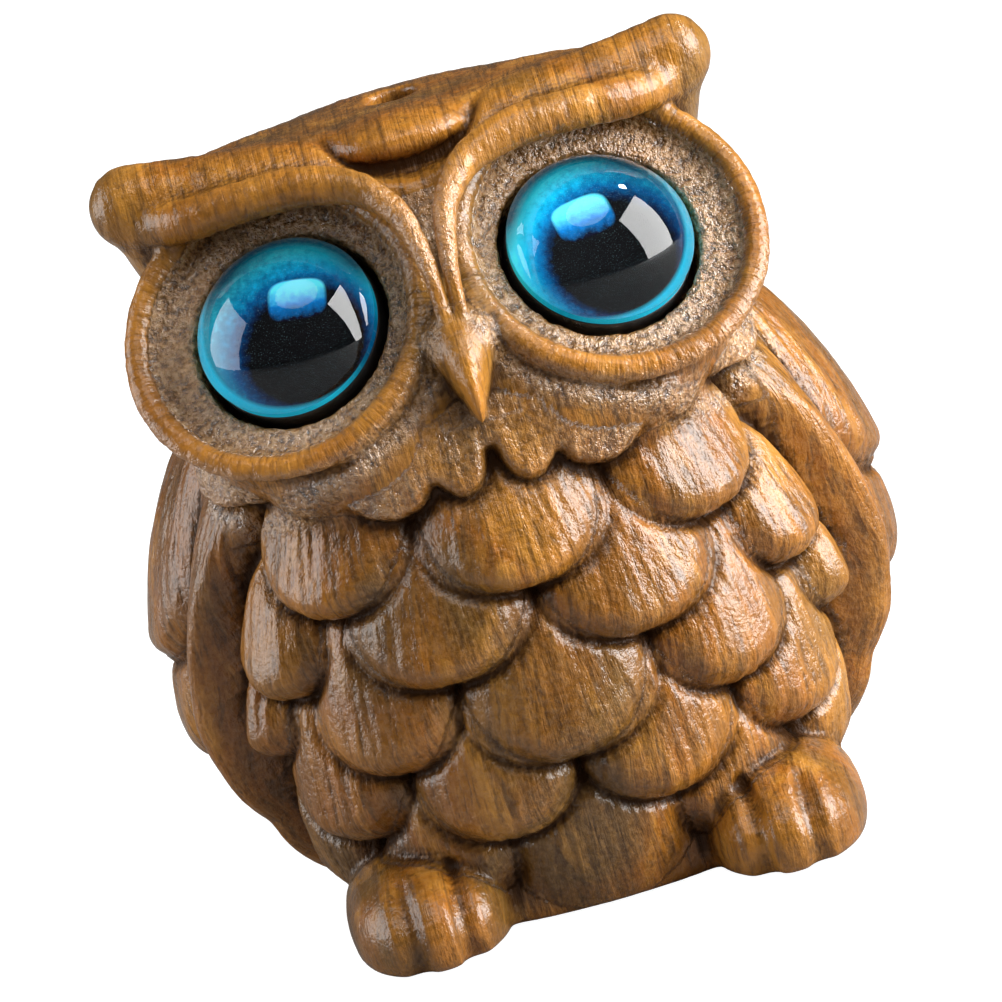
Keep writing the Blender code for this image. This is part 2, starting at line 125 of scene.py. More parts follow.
# Rolls along a curve: (centre, radius)
BROW_ROOF = [((3.2, -9.8, 49.0), 1.8), ((8.0, -8.8, 49.7), 2.1), ((13.2, -7.6, 50.1), 2.2),
             ((16.2, -6.9, 50.5), 2.35), ((18.0, -6.4, 50.35), 2.7)]
EAR_ROOT = ((15.0, -4.6, 47.0), (3.6, 3.6, 3.8))
BROW_RIDGE = [((0.5, -20.0, 40.9), 0.55), ((0.62, -19.2, 43.6), 0.6), ((0.95, -18.0, 45.6), 0.7),
              ((1.7, -16.4, 47.5), 0.85), ((3.6, -14.4, 49.1), 1.1), ((7.0, -12.8, 49.9), 1.35),
              ((11.4, -11.5, 49.7), 1.4), ((14.6, -10.3, 49.3), 1.35), ((17.4, -8.0, 49.2), 1.3)]
UNDERCUT = [((5.0, -14.6, 47.6), 0.3), ((8.4, -13.7, 48.2), 0.45), ((12.2, -12.8, 47.8), 0.5),
            ((16.0, -11.2, 46.8), 0.4)]
VALLEY = [((0.0, -20.0, 44.2), 0.5), ((0.0, -18.0, 46.9), 1.2), ((0.0, -14.4, 50.0), 1.9)]
TUFT = ((0.3, -7.9, 50.75), (4.9, 4.6, 1.6))
TUFT_MOAT = [((-1.4, -12.3, 49.5), 0.95), ((0.3, -12.4, 49.4), 1.0), ((2.4, -11.9, 49.9), 0.85),
             ((4.2, -10.8, 51.0), 0.55), ((5.4, -8.9, 52.1), 0.25)]
CROWN_HOLE = (0.0, -2.9, 51.4)
ABOVE_HOLE = (0.0, -3.1, 54.5)
CROWN_HOLE_RADIUS = 1.8
BEAK_TOP, BEAK_TIP = 41.1, 34.5  # heights
BEAK_ROOT = -18.2  # the y that its depth is measured from
# Half width, and how far forward its ridge is, against the share of the way from top to tip
BEAK_WIDE = ([-0.1, 0.0, 0.1, 0.25, 0.4, 0.7, 0.9, 1.0, 1.15],
             [0.05, 1.2, 2.15, 2.6, 2.45, 1.5, 0.75, 0.4, 0.02])
BEAK_FRONT = ([-0.1, 0.0, 0.15, 0.35, 0.6, 0.85, 1.0, 1.15],
              [18.9, 20.1, 21.6, 22.8, 23.5, 23.7, 23.5, 22.6])
BEAK_BOXINESS = 1.6

FACE_OUTWARD = 14.5  # degrees
FACE_UPWARD = 38.0
RING_RADIUS = 9.5
RING_SECTION = 0.85
RING_SINK = -0.1  # how far the ring's middle is behind the back of the glass
FACE_SHIFT = 0.55  # ring's middle outward from the eye's middle
DISH_RADIUS = 8.95
DISH_TOP = 0.8
DISH_DEPTH = 1.45
SOCKET_RADIUS = 6.5
GROOVE_UNDER_RING = 0.7  # radius of the groove, and how far it lies behind the ring
GROOVE_BEHIND = 1.0
# Drum that carries ring and dish: radius, place along the face's axis, half thickness, rounding
DRUM_RADIUS, DRUM_MIDDLE, DRUM_HALF, DRUM_ROUND = 8.9, -2.5, 2.4, 0.6
SOCKET_DEPTH = 4.6
GLASS_AHEAD = 0.45  # from the iris disc's middle to the flat back of the glass

# Feet: centre and radii of each rounded form
FOOT = ((11.9, -14.6, 1.9), (5.55, 8.6, 4.35))
FOOT_BOXINESS = 2.25
BELLY_FOOT = ((0.0, -11.0, 1.6), (11.6, 7.6, 6.0))  # fills the gap between the feet
BELLY_BOXINESS = 2.6
TOE_GAPS = [(9.7, 0.75), (13.4, 0.7)]  # how far out each gap runs, and its radius
TOE_GAP_HEIGHTS = [5.6, 5.0, 4.2, 3.2, 1.8, 0.0]
TOE_GAP_AHEAD = 0.15  # how far a gap's middle line runs in front of the foot

MIRROR_CELLS = 3  # grid cells kept on the far side of the mirror plane
CAVITY_REACH = 0.75  # half width of the neighbourhood that tells hollows from ridges
BLOCK_LOW, BLOCK_HIGH = (-MIRROR_CELLS * VOXEL, -27.0, -1.2), (27.5, 25.5, 56.0)


def lattice_noise(seed, *coords):
    """Smooth noise from -1 to 1 on a unit lattice, in two or three dimensions."""
    cells = [np.floor(c).astype(np.int64) for c in coords]
    parts = [c - k for c, k in zip(coords, cells)]
    parts = [p * p * (3 - 2 * p) for p in parts]
    primes = (374761393, 668265263, 2147483647)
    total = 0.0
    for corner in range(1 << len(coords)):
        mix = np.int64(seed * 1274126177)
        weight = 1.0
        for axis, (cell, part) in enumerate(zip(cells, parts)):
            bit = corner >> axis & 1
            mix = mix + (cell + bit) * primes[axis]
            weight = weight * (part if bit else 1 - part)
        mix = (mix ^ (mix >> 13)) * np.int64(1274126177)
        mix = (mix ^ (mix >> 16)) & 0xFFFF
        total = total + weight * (mix / 32767.5 - 1.0)
    return total


def smooth_min(a, b, k):
    """Union of two distances, blended over k."""
    share = np.clip(0.5 + 0.5 * (b - a) / k, 0.0, 1.0)
    return b * (1 - share) + a * share - k * share * (1 - share)


def smooth_max(a, b, k):
    """Intersection of two distances, blended over k."""
    return -smooth_min(-a, -b, k)


def catmull(points, per_span):
    """Points on a smooth curve through rows of numbers."""
    rows = np.array(points, float)
    out = []
    for k in range(len(rows) - 1):
        p0, p1, p2, p3 = rows[max(k - 1, 0)], rows[k], rows[k + 1], rows[min(k + 2, len(rows) - 1)]
        for t in np.arange(per_span) / per_span:
            out.append(0.5 * (2 * p1 + (p2 - p0) * t + (2 * p0 - 5 * p1 + 4 * p2 - p3) * t ** 2
                              + (3 * p1 - p0 - 3 * p2 + p3) * t ** 3))
    out.append(rows[-1])
    return np.array(out)


# ---- the body as a radius over angle and height ----

# Numbers of the parts that own a stretch of surface; the feathers count up from 1 and FIRST_WING
FIRST_WING, ON_RUFF, ON_HEAD, ON_FACE = 40, 90, 100, 110
# Marks of the tools: size and depth, for strokes width, length and depth
WAVE_SIZE, WAVE_DEPTH = 5.5, 0.10
CUT_WIDE, CUT_LONG, CUT_DEPTH = 0.62, 3.4, 0.07
FINE_WIDE, FINE_LONG, FINE_DEPTH = 0.36, 2.2, 0.035
CHIP_SIZE, CHIP_DEPTH = 0.6, 0.075
HEAD_STROKES, FACE_STROKES = 0.5, 0.45  # share of the strokes' depth on head and face
TURN_STEP, Z_STEP = 0.25, 0.1  # steps of the body map in degrees and millimetres
turns = np.arange(0, 180.01, TURN_STEP)
heights = np.arange(-1.5, 38.01, Z_STEP)
TURN, HEIGHT = np.meshgrid(turns, heights, indexing="ij")


def smooth_profile(z, values):
    """A table against height, softened so that it has no corners."""
    fine = np.interp(heights, z, values)
    width = 25
    padded = np.pad(fine, width, mode="edge")
    kernel = np.hanning(2 * width + 1)
    return np.convolve(padded, kernel / kernel.sum(), mode="valid")


def unit(x):
    """A number or table held between 0 and 1."""
    return np.clip(x, 0, 1)


def smooth_step(share):
    """A rise from 0 to 1 with soft ends."""
    return share * share * (3 - 2 * share)


def plain_body():
    """Radius of the body before anything is carved on it."""
    front, side, back = (smooth_profile(BODY_Z, v)[None, :] for v in (BODY_FRONT, BODY_SIDE, BODY_BACK))
    angle = np.radians(TURN)
    ahead = np.where(TURN < 90, front, back)
    return 1 / np.sqrt((np.sin(angle) / side) ** 2 + (np.cos(angle) / ahead) ** 2)


def add_wing_mass(radius):
    """Raise the plain wing out of the body behind the groove."""
    out = smooth_profile(WING_Z, WING_OUT)[None, :] * np.interp(turns, WING_TURN, WING_SHARE)[:, None]
    groove = np.interp(heights, GROOVE_Z, GROOVE_TURN)[None, :]
    rise = unit((TURN - groove) / GROOVE_WIDTH)
    fade = unit((168 - TURN) / 10)
    lift = np.maximum(out - radius, 0) * smooth_step(rise) * (0.35 + 0.65 * fade)
    below_ruff = unit((32 - HEIGHT) / 3)
    floor = np.exp(-((TURN - groove + 0.6) / 2.4) ** 2)
    crest = np.exp(-((TURN - groove - GROOVE_WIDTH - 1.6) / 2.8) ** 2)
    return radius + lift + below_ruff * (CREST_RISE * crest - GROOVE_DEPTH * floor)


class BodyMap:
    """Radius of the body, and the rise and the lie of the feathers on it, over angle and height."""

    def __init__(self):
        self.radius = add_wing_mass(plain_body())
        self.rise = np.zeros_like(self.radius)
        self.across = np.radians(TURN) * BODY_REACH
        self.along = HEIGHT.copy()
        self.owner = np.zeros_like(self.radius)

    def add(self, number, turn, tip, half, roundness, length, top_rise, tip_rise,
            reach=BODY_REACH, lean=0.0):
        """One feather: a pillow whose lower end stands out, with a groove cut under its rim."""
        for middle in ({turn, 360 - turn} if turn > 150 else {turn, -turn} if turn < 30 else {turn}):
            v = HEIGHT - tip
            u = np.radians(TURN - middle - lean * v) * reach
            low = np.clip((roundness - v) / roundness, 0, None)
            spread = half * (1 - FEATHER_TAPER * unit((v - roundness) / length))
            e = np.sqrt((u / spread) ** 2 + low ** 2)
            inside = (1 - e) * half
            edge = unit(inside / EDGE_ROUND)
            pillow = np.sqrt(unit(1 - (1 - edge) ** 2))
            share = unit(v / length)
            height = (tip_rise + (top_rise - tip_rise) * share) * pillow
            height += FEATHER_CROWN * unit(1 - (u / half) ** 2) * pillow
            line = np.exp(-((inside - RIM_LINE_IN) / 0.17) ** 2)
            height -= 0.13 * line * unit(1.4 - share * 2.5)
            height *= unit((length * 1.25 - v) / (length * 0.25))
            moat = unit(-inside / 1.1)
            cut = UNDERCUT_DEPTH * (1 - moat) ** 2 * (inside <= 0)
            cut = cut * unit((length - v) / length)
            on_top = (inside > 0) & (height > self.rise)
            self.rise = np.where(on_top, height, self.rise - cut)
            self.across = np.where(on_top, u * (1 + 0.035 * v), self.across)
            self.along = np.where(on_top, v, self.along)
            far_side = 0.5 if middle < 0 or middle > 180 else 0
            self.owner = np.where(on_top, number + far_side, self.owner)

    def add_ruff(self):
        """The shell of short feathers under the face, with a scalloped lower edge."""
        notch = np.interp(turns, [65, 74], [RUFF_NOTCH, RUFF_NOTCH_BEHIND])
        low = notch.copy()
        for middle, bottom, half in RUFF_LOBES:
            span = (turns - middle) / half
            lobe = bottom + (notch - bottom) * (1 - np.sqrt(unit(1 - span ** 2)))
            low = np.where(np.abs(span) < 1, np.minimum(low, lobe), low)
        kernel = np.hanning(9)
        low = np.convolve(np.pad(low, 4, mode="edge"), kernel / kernel.sum(), mode="valid")
        slope = np.gradient(low, np.radians(turns) * BODY_REACH)
        inside = (HEIGHT - low[:, None]) / np.sqrt(1 + slope[:, None] ** 2)
        edge = unit(inside)
        height = RUFF_RISE * np.sqrt(unit(1 - (1 - edge) ** 2))
        height -= 0.16 * np.exp(-((inside - RIM_LINE_IN) / 0.22) ** 2)
        height = height * (1 - 0.25 * unit(inside / 6))
        height = height * np.interp(TURN, [0, 60, 90, 180], [1, 1.0, 0.8, 0.7])
        cut = 0.5 * unit(1 + inside) ** 2 * (inside <= 0)
        on_top = inside > 0
        covered = np.maximum(height, self.rise * unit(1 - inside))
        self.rise = np.where(on_top, covered, self.rise - cut)
        self.across = np.where(on_top, np.radians(TURN) * BODY_REACH, self.across)
        self.along = np.where(on_top, HEIGHT - 29, self.along)
        self.owner = np.where(on_top, ON_RUFF, self.owner)

    def look_up(self, table, turn, z):
        """Bilinear reading of a table at angles and heights."""
        a = np.clip(turn / TURN_STEP, 0, len(turns) - 1.001)
        b = np.clip((z - heights[0]) / Z_STEP, 0, len(heights) - 1.001)
        i, j = a.astype(np.int32), b.astype(np.int32)
        a, b = a - i, b - j
        return (table[i, j] * (1 - a) * (1 - b) + table[i + 1, j] * a * (1 - b)
                + table[i, j + 1] * (1 - a) * b + table[i + 1, j + 1] * a * b)

    def nearest(self, table, turn, z):
        """The table's value at the closest entry."""
        i = np.clip(np.rint(turn / TURN_STEP), 0, len(turns) - 1).astype(np.int32)
        j = np.clip(np.rint((z - heights[0]) / Z_STEP), 0, len(heights) - 1).astype(np.int32)
        return table[i, j]


def carve_body_map():
    """All feathers, row over row, then the ruff on top of them."""
    body = BodyMap()
    rows = [(row, TAIL_TOP, TAIL_RISE) for row in TAIL[::-1]]
    rows += [(row, BACK_TOP, BACK_RISE) for row in BACK]
    for row in BREAST:
        rise = FEATHER_RISE * (LOWEST_SHARE if row[1] < 0 else 1.0)
        rows.append((row, FEATHER_TOP, rise))
    for number, (row, top_rise, tip_rise) in enumerate(rows, 1):
        body.add(number, *row, top_rise, tip_rise)
    for number, (*row, lean) in enumerate(WING, FIRST_WING):
        body.add(number, *row, FEATHER_TOP, WING_RISE, WING_REACH, lean)
    body.add_ruff()
    return body


# ---- the block of distances ----

class Block:
    """Distances to the carved surface on a regular grid over the x >= 0 half."""

    def __init__(self, low, high):
        self.low = np.array(low, float)
        self.count = np.ceil((np.array(high) - self.low) / VOXEL).astype(int) + 1
        self.field = np.full(self.count, BAND, np.float32)

    def part(self, low, high):
        """Index ranges and coordinates of the grid between two corners."""
        a = np.clip(np.floor((np.array(low) - self.low) / VOXEL).astype(int), 0, self.count)
        b = np.clip(np.ceil((np.array(high) - self.low) / VOXEL).astype(int) + 1, 0, self.count)
        cut = tuple(slice(i, j) for i, j in zip(a, b))
        axes = [(np.arange(i, j) * VOXEL + o).astype(np.float32) for i, j, o in zip(a, b, self.low)]
        return cut, np.meshgrid(*axes, indexing="ij", sparse=True)

    def put(self, low, high, shape, k, cut_away=False):
        """Blend a shape into the block, or cut it out, between two corners."""
        where, (x, y, z) = self.part(low, high)
        distance = shape(x, y, z)
        old = self.field[where]
        new = smooth_max(old, -distance, k) if cut_away else smooth_min(old, distance, k)
        self.field[where] = np.clip(new, -BAND, BAND)


def ball(centre, radii, power=2.0):
    """Distance to an ellipsoid; a higher power makes it boxier."""
    def shape(x, y, z):
        a, b, c = (abs(spot - middle) / radius for spot, middle, radius in zip((x, y, z), centre, radii))
        size = (a ** power + b ** power + c ** power) ** (1 / power)
        steep = np.sqrt((a / radii[0]) ** 2 + (b / radii[1]) ** 2 + (c / radii[2]) ** 2)
        steep = steep / np.maximum(size, 1e-6)
        return (size - 1) / np.maximum(steep, 1 / max(radii) / 1.5)
    return shape


def roll(points):
    """Distance to a tapering roll along a curve of (centre, radius)."""
    line = catmull([(*p, r) for p, r in points], 5)

    def shape(x, y, z):
        best = None
        for a, b in zip(line, line[1:]):
            d = b[:3] - a[:3]
            length = max(float(d @ d), 1e-9)
            dx, dy, dz = x - a[0], y - a[1], z - a[2]
            t = unit((dx * d[0] + dy * d[1] + dz * d[2]) / length)
            gap = np.sqrt((dx - t * d[0]) ** 2 + (dy - t * d[1]) ** 2 + (dz - t * d[2]) ** 2)
            gap = gap - (a[3] + (b[3] - a[3]) * t)
            best = gap if best is None else np.minimum(best, gap)
        return best
    return shape


def box_round(points, margin):
    """Corners of a box that holds (centre, radius) pairs with a margin."""
    low = np.min([np.array(p) - r for p, r in points], axis=0) - margin
    high = np.max([np.array(p) + r for p, r in points], axis=0) + margin
    return low, high


def middle_of(node):
    """Middle of a CAD part: the box of a round plate is centred on the plate."""
    low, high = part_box(node)
    return np.array((low + high) / 2) / MM


# The left eye as the CAD places it
IRIS_MIDDLE = middle_of("iris_disc_left")
EYE_OUT = IRIS_MIDDLE - middle_of("glue_bed_left")
EYE_OUT /= np.linalg.norm(EYE_OUT)
EYE_SIDE = np.array((-EYE_OUT[1], EYE_OUT[0], 0.0))
EYE_SIDE /= np.linalg.norm(EYE_SIDE)
EYE_UP = np.cross(EYE_OUT, EYE_SIDE)
GLASS_BACK = IRIS_MIDDLE + EYE_OUT * GLASS_AHEAD
FACE_MIDDLE = GLASS_BACK + EYE_SIDE * FACE_SHIFT
EYE_AXES = (EYE_SIDE, EYE_UP, EYE_OUT)


def looking(outward, upward):
    """Side, up and out directions for a given outward and upward turn in degrees."""
    a, b = math.radians(outward), math.radians(upward)
    out = np.array((math.sin(a) * math.cos(b), -math.cos(a) * math.cos(b), math.sin(b)))
    side = np.array((math.cos(a), math.sin(a), 0.0))
    return side, np.cross(out, side), out


FACE_AXES = looking(FACE_OUTWARD, FACE_UPWARD)


def face_axes(x, y, z, middle=None, axes=None):
    """Coordinates across, up and out of the face at the left eye."""
    middle = FACE_MIDDLE if middle is None else middle
    dx, dy, dz = x - middle[0], y - middle[1], z - middle[2]
    return tuple(dx * a[0] + dy * a[1] + dz * a[2] for a in (axes or FACE_AXES))


def face_block(x, y, z):
    """The round-edged drum behind the face."""
    u, v, s = face_axes(x, y, z)
    rim = np.sqrt(u * u + v * v) - DRUM_RADIUS
    flat = np.abs(s - DRUM_MIDDLE) - DRUM_HALF
    outside = np.sqrt(np.maximum(rim, 0) ** 2 + np.maximum(flat, 0) ** 2)
    return outside + np.minimum(np.maximum(rim, flat), 0) - DRUM_ROUND


def ring(x, y, z):
    """The raised rim round the face."""
    u, v, s = face_axes(x, y, z)
    r = np.sqrt(u * u + v * v) - RING_RADIUS
    return np.sqrt(r * r + (s + RING_SINK) ** 2) - RING_SECTION


def dish(x, y, z):
    """The hollow inside the rim."""
    u, v, s = face_axes(x, y, z)
    return ball((0, 0, DISH_TOP), (DISH_RADIUS, DISH_RADIUS, DISH_DEPTH), 2.8)(u, v, s)


def ring_groove(x, y, z):
    """The cut under the rim, which fades out upwards and towards the beak."""
    u, v, s = face_axes(x, y, z)
    r = np.sqrt(u * u + v * v) - RING_RADIUS - RING_SECTION
    fade = 0.8 * unit(0.2 + v / 5) + 0.75 * unit(0.15 - u / 6)
    return np.sqrt(r * r + (s + RING_SINK + GROOVE_BEHIND) ** 2) - GROOVE_UNDER_RING + fade


def socket(x, y, z):
    """The blind hole for the eye, along the eye's own axis."""
    u, v, s = face_axes(x, y, z, GLASS_BACK, EYE_AXES)
    return np.maximum(np.sqrt(u * u + v * v) - SOCKET_RADIUS, -(s + SOCKET_DEPTH))


def beak(x, y, z):
    """A rounded drop with a soft ridge down its middle, point downwards."""
    t = np.clip((BEAK_TOP - z) / (BEAK_TOP - BEAK_TIP), -0.1, 1.15)
    wide, front = np.interp(t, *BEAK_WIDE), np.interp(t, *BEAK_FRONT)
    deep = np.maximum(front + BEAK_ROOT, 0.2)
    u, w = np.abs(x) / wide, np.maximum(BEAK_ROOT - y, 0) / deep
    size = (u ** BEAK_BOXINESS + w ** BEAK_BOXINESS) ** (1 / BEAK_BOXINESS)
    ends = np.maximum(z - BEAK_TOP - 0.4, BEAK_TIP - 0.25 - z)
    return np.maximum((size - 1) * np.minimum(wide, deep) * 0.8, ends)


def foot_front(x, z):
    """The y of the foot's front surface."""
    (cx, cy, cz), (rx, ry, rz) = FOOT
    rest = 1 - abs((x - cx) / rx) ** FOOT_BOXINESS - abs((z - cz) / rz) ** FOOT_BOXINESS
    return cy - ry * max(rest, 0.02) ** (1 / FOOT_BOXINESS)


def carve():
    """The whole block, form by form. The last number of each put is the width of its blend."""
    body = carve_body_map()
    block = Block(BLOCK_LOW, BLOCK_HIGH)

    def body_shape(x, y, z):
        turn = np.degrees(np.arctan2(np.abs(x), -y))
        turn, height = np.broadcast_arrays(turn, z)
        radius = body.look_up(body.radius + body.rise, turn, height)
        return np.maximum((np.sqrt(x * x + y * y) - radius) * 0.8, z - BODY_TOP)

    def underside(x, y, z):
        return z + 0 * x + 0 * y

    def put_roll(points, margin, blend, cut_away=False):
        block.put(*box_round(points, margin), roll(points), blend, cut_away)

    def put_ball(form, reach, blend, power=2.0):
        centre = np.array(form[0])
        block.put(centre - reach, centre + reach, ball(*form, power), blend)

    block.put((-2, -27, -1.2), (27.5, 25.5, 38), body_shape, 0.01)
    for centre, radii, power in HEAD_MASSES:
        put_ball((centre, radii), np.array(radii) + 3, HEAD_BLEND, power)
    put_roll(BROW_ROOF, 3, 2.2)
    put_ball(EAR_ROOT, 9, 2.0)
    face_low, face_high = FACE_MIDDLE - 13, FACE_MIDDLE + 13
    block.put(face_low, face_high, face_block, 1.0)
    block.put(face_low, face_high, dish, 0.5, True)
    put_roll(VALLEY, 3, 1.0, True)
    block.put(face_low, face_high, ring, 0.35)
    block.put(face_low, face_high, ring_groove, 0.35, True)
    put_roll(BROW_RIDGE, 3, 0.6)
    put_roll(UNDERCUT, 2, 0.35, True)
    put_roll(TUFT_MOAT, 2, 0.5, True)
    put_ball(TUFT, 7, 0.25)
    block.put((-3, -26, 31), (5, -15, 43), beak, 0.25)
    put_roll([(CROWN_HOLE, CROWN_HOLE_RADIUS), (ABOVE_HOLE, CROWN_HOLE_RADIUS)], 2, 0.25, True)
    put_ball(FOOT, 11, 0.5, FOOT_BOXINESS)
    put_ball(BELLY_FOOT, 13, 0.8, BELLY_BOXINESS)
    for out, radius in TOE_GAPS:
        gap = [((out, foot_front(out, z) - TOE_GAP_AHEAD, z), radius * min(1, (6.6 - z) / 2))
               for z in TOE_GAP_HEIGHTS]
        put_roll(gap, 2, 0.55, True)
    block.put(GLASS_BACK - 12, GLASS_BACK + 12, socket, 0.3, True)
    block.put((-2, -27, -1.2), (27.5, 25.5, 3.5), underside, 0.5, True)
    return body, block


def soften(field, passes):
    """Blur a field slightly along each axis."""
    for _ in range(passes):
        for axis in range(3):
            a = np.moveaxis(field, axis, 0)
            inner = 0.25 * a[:-2] + 0.5 * a[1:-1] + 0.25 * a[2:]
            a[1:-1] = inner
    return field


def net_surface(field, low):
    """Corners and four-sided faces of the zero surface of a field (surface nets)."""
    inside = field < 0
    nx, ny, nz = field.shape
    total = inside[:-1, :-1, :-1].astype(np.uint8)
    for i, j, k in ((1, 0, 0), (0, 1, 0), (0, 0, 1), (1, 1, 0), (1, 0, 1), (0, 1, 1), (1, 1, 1)):
        total += inside[i:nx - 1 + i, j:ny - 1 + j, k:nz - 1 + k]
    cells = np.argwhere((total > 0) & (total < 8))
    number = np.full(total.shape, -1, np.int64)
    number[tuple(cells.T)] = np.arange(len(cells))
    corners = np.array([(i, j, k) for i in (0, 1) for j in (0, 1) for k in (0, 1)])
    values = np.stack([field[tuple((cells + c).T)] for c in corners], axis=1).astype(float)
    point, hits = np.zeros((len(cells), 3)), np.zeros(len(cells))
    for a in range(8):
        for b in range(a + 1, 8):
            if np.abs(corners[a] - corners[b]).sum() != 1:
                continue
            va, vb = values[:, a], values[:, b]
            crossing = (va < 0) != (vb < 0)
            t = np.where(crossing, va / np.where(crossing, va - vb, 1), 0)[:, None]
            point += np.where(crossing[:, None], corners[a] * (1 - t) + corners[b] * t, 0)
            hits += crossing
    point = (cells + point / hits[:, None]) * VOXEL + low
    faces = []
    for axis in range(3):
        first, second = [k for k in range(3) if k != axis]
        a = np.moveaxis(inside, axis, 0)
        spots = np.argwhere(a[:-1] != a[1:])
        begins_inside = a[:-1][tuple(spots.T)]
        full = np.empty_like(spots)
        full[:, axis], full[:, first], full[:, second] = spots[:, 0], spots[:, 1], spots[:, 2]
        keep = (full[:, first] > 0) & (full[:, second] > 0)
        keep &= (full[:, first] < total.shape[first]) & (full[:, second] < total.shape[second])
        full, begins_inside = full[keep], begins_inside[keep]
        step0, step1 = np.zeros(3, int), np.zeros(3, int)
        step0[first], step1[second] = 1, 1
        steps = (0 * step0, step0, step0 + step1, step1)
        quad = np.stack([number[tuple((full - step).T)] for step in steps], axis=1)
        flip = ~begins_inside if axis != 1 else begins_inside
        quad[flip] = quad[flip][:, ::-1]
        faces.append(quad)
    return point, np.concatenate(faces)


def cavity_of(field, spots):
    """Share of solid around each spot, less a half: above zero in hollows, below on ridges."""
    solid = unit(0.5 - field / (2 * VOXEL)).astype(np.float32)
    width = max(int(round(CAVITY_REACH / VOXEL)), 1)
    for axis in range(3):
        for _ in range(2):
            pad = [(0, 0)] * 3
            pad[axis] = (width + 1, width)
            total = np.cumsum(np.pad(solid, pad, mode="edge"), axis=axis, dtype=np.float32)
            high = np.take(total, range(2 * width + 1, total.shape[axis]), axis=axis)
            low = np.take(total, range(0, total.shape[axis] - 2 * width - 1), axis=axis)
            solid = (high - low) / (2 * width + 1)
    near = [np.clip(np.rint(spots[:, k]).astype(int), 0, solid.shape[k] - 1) for k in range(3)]
    return solid[tuple(near)] - 0.5


def lie_of(body, points):
    """The carver's strokes at each point (across, along) and the part that owns it."""
    x, y, z = np.abs(points[:, 0]), points[:, 1], points[:, 2]
    turn = np.degrees(np.arctan2(x, -y))
    off_body = np.abs(np.hypot(x, y) - body.look_up(body.radius + body.rise, turn, z))
    on_body = (off_body < 0.8) & (z < BODY_TOP - 0.2)
    across = np.where(on_body, body.look_up(body.across, turn, z), x * 1.1)
    along = np.where(on_body, body.look_up(body.along, turn, z), z - 0.6 * y)
    owner = np.where(on_body, body.nearest(body.owner, turn, z), ON_HEAD)
    u, v, s = face_axes(x, y, z)
    r = np.hypot(u, v)
    face = (r < RING_RADIUS + RING_SECTION + 0.1) & (s > -3.2) & (s < 1.2)
    across = np.where(face, np.arctan2(v, u) * 12.0, across)
    along = np.where(face, r, along)
    owner = np.where(face, ON_FACE, owner)
    beak_part = (x < 2.6) & (y < -19.4) & (z > 34) & (z < 41.6) & ~(face & (r < 9.0))
    across, along = np.where(beak_part, x * 1.2, across), np.where(beak_part, z, along)
    foot = (z < 7) & (y < -13) & (x > 6) & ~on_body
    across, along = np.where(foot, x, across), np.where(foot, z - y, along)
    mirrored = points[:, 0] < 0
    return across * np.where(mirrored, -1, 1), along, owner + np.where(mirrored, 0.25, 0)


def belongs_to(owner, part):
    """Whether points are on one of the numbered parts; the sides differ by less than 1."""
    return (owner >= part) & (owner < part + 1)


def chipped_at(points, owner):
    """How rough the wood is left: most in the dishes, then under the rings, on ruff and brow gap. Where it
    is high the wood is painted lighter and its painted shade eased, partly as painted light.
    """
    side_x, y, z = np.abs(points[:, 0]), points[:, 1], points[:, 2]
    on_ruff = belongs_to(owner, ON_RUFF) & (y < -6)
    ruff_chips = 0.45 + 0.5 * unit((side_x - 4) / 6)
    chipped = np.where(on_ruff, ruff_chips, np.where(owner < ON_HEAD, 0.25, 0.2))
    u, v, _ = face_axes(side_x, y, z)
    from_eye = np.hypot(u, v)
    on_beak = (side_x < 3.4) & (y < -19.3)
    in_dish = belongs_to(owner, ON_FACE) & (from_eye < RING_RADIUS - 0.8) & ~on_beak
    chipped = np.where(in_dish, 1.0, chipped)
    under_ring = np.exp(-((from_eye - RING_RADIUS - 1.4) / 0.9) ** 2) * unit(-v / 4)
    chipped = np.maximum(chipped, under_ring * (y < -8))
    brow_gap = np.exp(-(side_x / 3.2) ** 2) * unit((z - 42) / 2) * (y < -13)
    return np.maximum(chipped, 0.7 * brow_gap * (owner >= ON_HEAD))


def strokes_at(points, across, along, owner, chipped):
    """How deep waves, strokes and chips cut into the surface at each point."""
    x, y, z = points[:, 0], points[:, 1], points[:, 2]
    wave = lattice_noise(3, x / WAVE_SIZE, y / WAVE_SIZE, z / WAVE_SIZE) * WAVE_DEPTH
    slant = along / CUT_LONG + across * 0.7 + owner * 3.3
    cuts = lattice_noise(5, across / CUT_WIDE, slant) * CUT_DEPTH
    slant = along / FINE_LONG - across * 1.3 + owner * 5.1
    fine = lattice_noise(9, across / FINE_WIDE, slant) * FINE_DEPTH
    chips = lattice_noise(13, x / CHIP_SIZE, y / CHIP_SIZE, z / CHIP_SIZE) * CHIP_DEPTH * chipped
    share = np.where(belongs_to(owner, ON_HEAD), HEAD_STROKES, 1.0)
    share = np.where(belongs_to(owner, ON_FACE), FACE_STROKES, share)
    calm_by_the_base = unit(z)
    return (wave + chips + (cuts + fine) * share) * calm_by_the_base


def add_object(name, data):
    thing = bpy.data.objects.new(name, data)
    bpy.context.scene.collection.objects.link(thing)
    return thing


def link_piece(name, points, faces, node, material, smooth=True):
    """A mesh object that rides on the CAD and stands for one of its nodes."""
    mesh = bpy.data.meshes.new(name)
    mesh.from_pydata((np.asarray(points) * MM).tolist(), [], [list(map(int, f)) for f in faces])
    mesh.update()
    piece = add_object(name, mesh)
    if smooth:
        mesh.shade_smooth()
    mesh.materials.append(material)
    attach(piece, "root")
    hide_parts(node)
    return piece


# ---- materials ----

NOISE_TURN = (0.6, 0.35, 0.8)  # keeps the noise's cells from showing as steps


